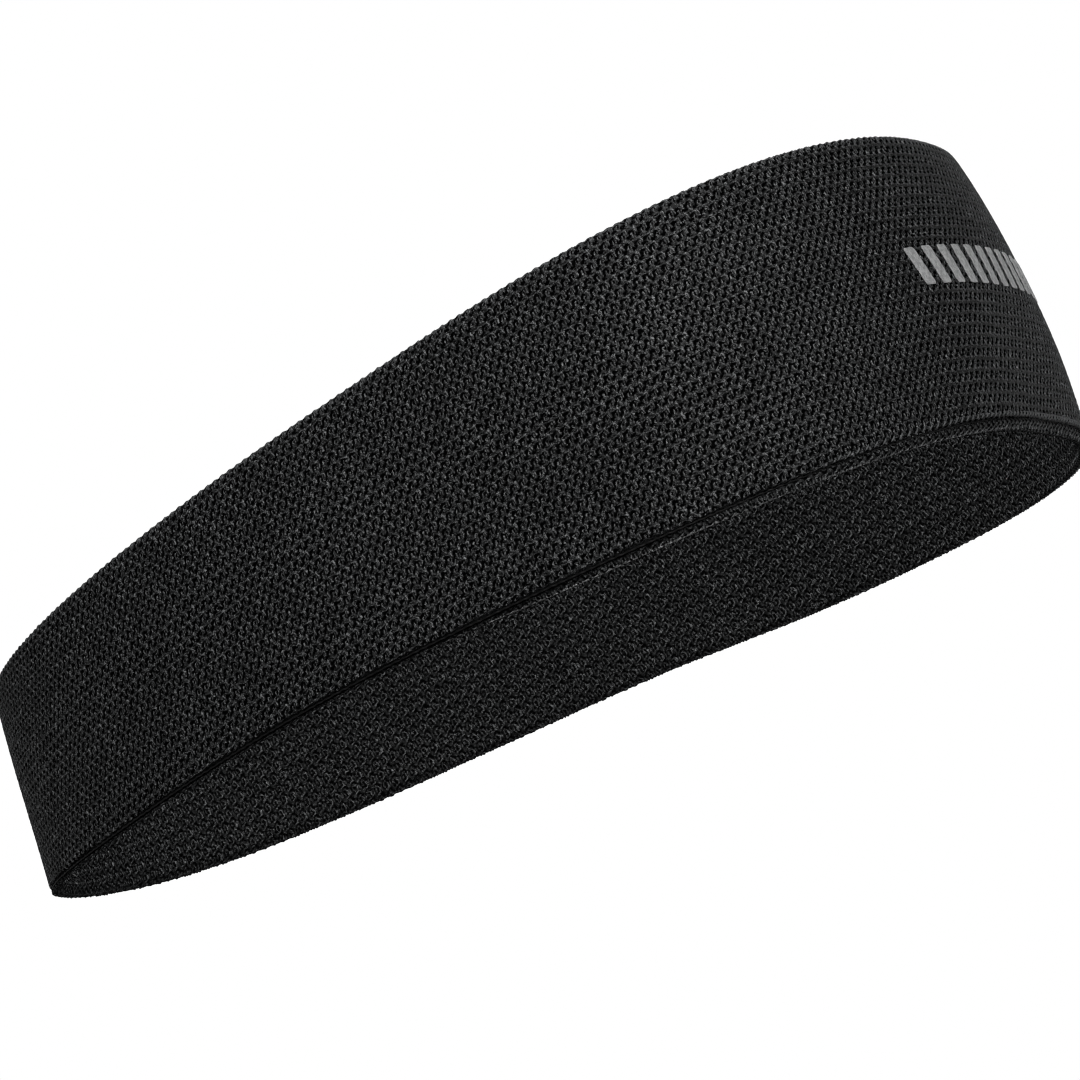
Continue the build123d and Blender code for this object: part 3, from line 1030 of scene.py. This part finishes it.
mark_lo, mark_hi = node_box("front_mark")
MARK_LOW, MARK_HIGH = float(mark_lo[2]), float(mark_hi[2])
MARK_HALF, BARS, SLANT = 40.0, 13, 1.8     # half the row's length, bars, lean of a bar
BAR_PITCH = 2 * MARK_HALF / BARS
BAR_U, BAR_V = 18, 36                      # points across and up a bar


def bar_points(k):
    """Vertices of bar k, front sheet then back, and the knit height below them."""
    x, y = np.meshgrid(np.linspace(-0.5, 0.5, BAR_U), np.linspace(0, 1, BAR_V), indexing="ij")
    middle = -MARK_HALF + BAR_PITCH * (k + 0.5)
    # rounded ends and slightly ragged edges
    to_end = 0.5 - np.abs(y - 0.5)
    width = BAR_PITCH * 0.54 * (0.80 + 0.20 * clamp01(to_end / 0.07) ** 0.5)
    ragged = 0.05 * lattice_noise(x * 4 + k * 7.3 + 60, y * 22 + 3, SEED + 91)
    arc = CENTRE - (middle + x * (width + ragged) + SLANT * (y - 0.5))
    angle = angle_at(arc)
    z = MARK_LOW + (MARK_HIGH - MARK_LOW) * y
    rise = z - top(angle)
    along = cols_at(arc) + np.interp(arc, ARC, TOP_SLOPE) * rise / PITCH_U
    height = knit(OUTER_MAPS, along, (1.9 - rise) / PITCH_V, SEED)[0]
    rim = clamp01((0.5 - np.abs(x)) * 14) * clamp01(to_end * 34)
    front_depth = -CREST - 0.05 - 0.07 * rim ** 0.5 + 0.09 * (1 - height)
    sheets = [place(angle, depth + drape(angle, z), z).reshape(-1, 3)
              for depth in (front_depth, 0.10)]
    return np.concatenate(sheets), np.tile(height.ravel(), 2)


def front_mark():
    verts, quads, uvs, heights = [], [], [], []
    for k in range(BARS):
        cell_u, cell_v = (k % 5) / 5, (k // 5) / 3
        bar_quads, bar_uv = slab(BAR_U, BAR_V, low=(cell_u + 0.005, cell_v + 0.01),
                                 sheet=(0.09, 0.30), back_u=0.10,
                                 rim=(0.185, cell_v + 0.318, cell_v + 0.328))
        bar_verts, bar_heights = bar_points(k)
        quads.append(bar_quads + k * len(bar_verts))
        uvs.append(bar_uv)
        verts.append(bar_verts)
        heights.append(bar_heights)
    ob = new_mesh("front_mark_bars", np.concatenate(verts), np.concatenate(quads).ravel(),
                  np.concatenate(uvs), {"knit_h": np.concatenate(heights)})
    face_outwards(ob)
    dress(ob, MAT_PRINT, "band", "reflective_print", "front_mark")


front_mark()

# =====================================================================
# Care label and its stitches
# =====================================================================
joint = frame["joints"][0]
AXIS_Y, AXIS_Z = (joint["pos_m"][axis] * 1000.0 for axis in (1, 2))
label_lo, label_hi = node_box("care_label")
LABEL_W, LABEL_H = float(label_hi[0] - label_lo[0]), float(label_hi[2] - label_lo[2])


def care_label():
    count_u, count_v = 49, 61
    corner_r, above_axis = 1.3, 0.9
    across, down = np.meshgrid(np.linspace(-1, 1, count_u), np.linspace(0, 1, count_v),
                               indexing="ij")
    corner = clamp01((down - 0.9) / 0.1)
    x = across * (LABEL_W / 2 - corner_r * (1 - np.sqrt(clamp01(1 - corner ** 2))))
    z = AXIS_Z + above_axis - (LABEL_H + above_axis) * down
    # a soft lie, curling a little at the free end
    y = (AXIS_Y + 0.12 * np.sin(3.1 * across) * down
         - 0.9 * down ** 2 * (0.5 + 0.5 * np.cos(1.6 * across))
         + 0.25 * np.sin(5 * down) * down)
    half_t = (0.15 - 0.05 * clamp01((down - 0.97) / 0.03)
              - 0.05 * clamp01((np.abs(across) - 0.97) / 0.03))
    half_t += 0.012 * np.sin(down * 2 * pi * 46) + 0.010 * np.sin(across * 2 * pi * 24)
    sheets = [np.stack([x, y + sign * half_t, z], -1).reshape(-1, 3) for sign in (-1, 1)]
    quads, uv = slab(count_u, count_v, low=(0.01, 0.01), sheet=(0.47, 0.90), back_u=0.5,
                     rim=(0.98, 0.94, 0.98))
    ob = new_mesh("care_label_satin", np.concatenate(sheets), quads.ravel(), uv)
    face_outwards(ob)
    dress(ob, MAT_LABEL, None, "label_satin", "care_label")
    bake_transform(ob)


def label_stitches():
    count, margin = 7, 0.9
    share = np.linspace(0, 1, 11)
    y = AXIS_Y - 0.05 - 0.22 * np.sin(pi * share) ** 0.5
    z = np.full_like(share, AXIS_Z + 0.55)
    paths = []
    for k in range(count):
        start, end = (-LABEL_W / 2 + margin + (LABEL_W - 2 * margin) * (k + part) / count
                      for part in (0.12, 0.88))
        paths.append(np.stack([start + (end - start) * share, y, z], -1))
    ob = tube("care_label_running_stitch", paths, radius=0.13)
    dress(ob, MAT_THREAD, "band", "seam_thread", "care_label_stitch")


care_label()
label_stitches()


# =====================================================================
# Floor, light, camera (metres)
# =====================================================================
def paper_material():
    """White paper, lifted for the camera only, and clear when seen from below."""
    material, graph = new_material("floor_paper")
    diffuse = graph.node("BsdfDiffuse", {"Color": (0.88, 0.88, 0.88)})
    camera_ray = graph.node("LightPath").outputs["Is Camera Ray"]
    glow = graph.node("Emission", {"Color": (1, 1, 1), "Strength": graph.mul(camera_ray, 0.42)})
    lifted = graph.node("AddShader", {0: diffuse.outputs[0], 1: glow.outputs[0]})
    below = graph.node("NewGeometry").outputs["Backfacing"]
    clear = graph.node("BsdfTransparent").outputs[0]
    paper = graph.node("MixShader", {0: below, 1: lifted.outputs[0], 2: clear})
    graph.node("OutputMaterial", {"Surface": paper.outputs[0]})
    return material


def add_floor():
    half, z = 14.0, cad_lo[2] - 0.0006
    corners = [(-half, -half, z), (half, -half, z), (half, half, z), (-half, half, z)]
    mesh = bpy.data.meshes.new("floor")
    mesh.from_pydata(corners, [], [(0, 1, 2, 3)])
    floor = bpy.data.objects.new("floor", mesh)
    bpy.context.scene.collection.objects.link(floor)
    mesh.materials.append(paper_material())
    floor.visible_shadow = False     # the low fill reaches the underside
    floor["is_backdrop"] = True


# name, location, target, size, watts
LIGHTS = [
    ("key", (-0.84, -0.40, 0.80), (0, -0.02, 0.02), (0.70, 0.70), 3.7),
    ("front", (-0.25, -1.00, 0.40), (0, -0.02, 0.02), (0.60, 0.50), 0.7),
    ("far", (1.0, 0.1, 0.55), (0, 0, 0.02), (0.60, 0.50), 2.2),
    ("low", (-0.80, -0.55, -0.40), (0, -0.02, 0.02), (0.60, 0.60), 1.05),
    ("inner", (0.10, 0.07, -0.24), (0.03, -0.06, 0.02), (0.16, 0.16), 1.0),
]


def add_light(name, location, target, size, watts):
    light = bpy.data.lights.new(name, "AREA")
    light.shape = "RECTANGLE"
    light.size, light.size_y = size
    light.energy = watts
    ob = bpy.data.objects.new(name, light)
    ob.location = location
    ob.rotation_mode = "QUATERNION"
    ob.rotation_quaternion = (Vector(target) - Vector(location)).to_track_quat("-Z", "Y")
    ob.visible_camera = False
    bpy.context.scene.collection.objects.link(ob)


def add_world():
    """Faint white light; plain white to the camera."""
    world = bpy.data.worlds.new("studio")
    bpy.context.scene.world = world
    world.use_nodes = True
    graph = Graph(world.node_tree)
    camera_ray = graph.node("LightPath").outputs["Is Camera Ray"]
    fill, seen = (graph.node("Background", {"Color": (1, 1, 1), "Strength": strength})
                  for strength in (0.12, 1.0))
    mixed = graph.node("MixShader", {0: camera_ray, 1: fill.outputs[0], 2: seen.outputs[0]})
    graph.node("OutputWorld", {"Surface": mixed.outputs[0]})


def add_camera():
    """Long lens, 2 m away on the wearer's right, a little to the front and below."""
    back = Vector((-0.95780468, -0.24407841, -0.15177591))
    right = Vector((0.28570857, -0.86606856, -0.41023879))
    up = Vector((-0.03131791, -0.43629231, 0.89925981))
    data = bpy.data.cameras.new("camera")
    camera = bpy.data.objects.new("camera", data)
    bpy.context.scene.collection.objects.link(camera)
    data.sensor_width = 36.0
    data.lens = 383.646667
    data.clip_start, data.clip_end = 0.05, 60.0
    pose = Matrix((right, up, back)).transposed().to_4x4()
    pose.translation = (back * 2000.0 + right * -2.3396 + up * 21.2384) * MM
    camera.matrix_world = pose
    bpy.context.scene.camera = camera


add_floor()
for light_row in LIGHTS:
    add_light(*light_row)
add_world()
scene = bpy.context.scene
scene.view_settings.view_transform = "Standard"
scene.view_settings.look = "None"
scene.cycles.filter_width = 1.1
add_camera()
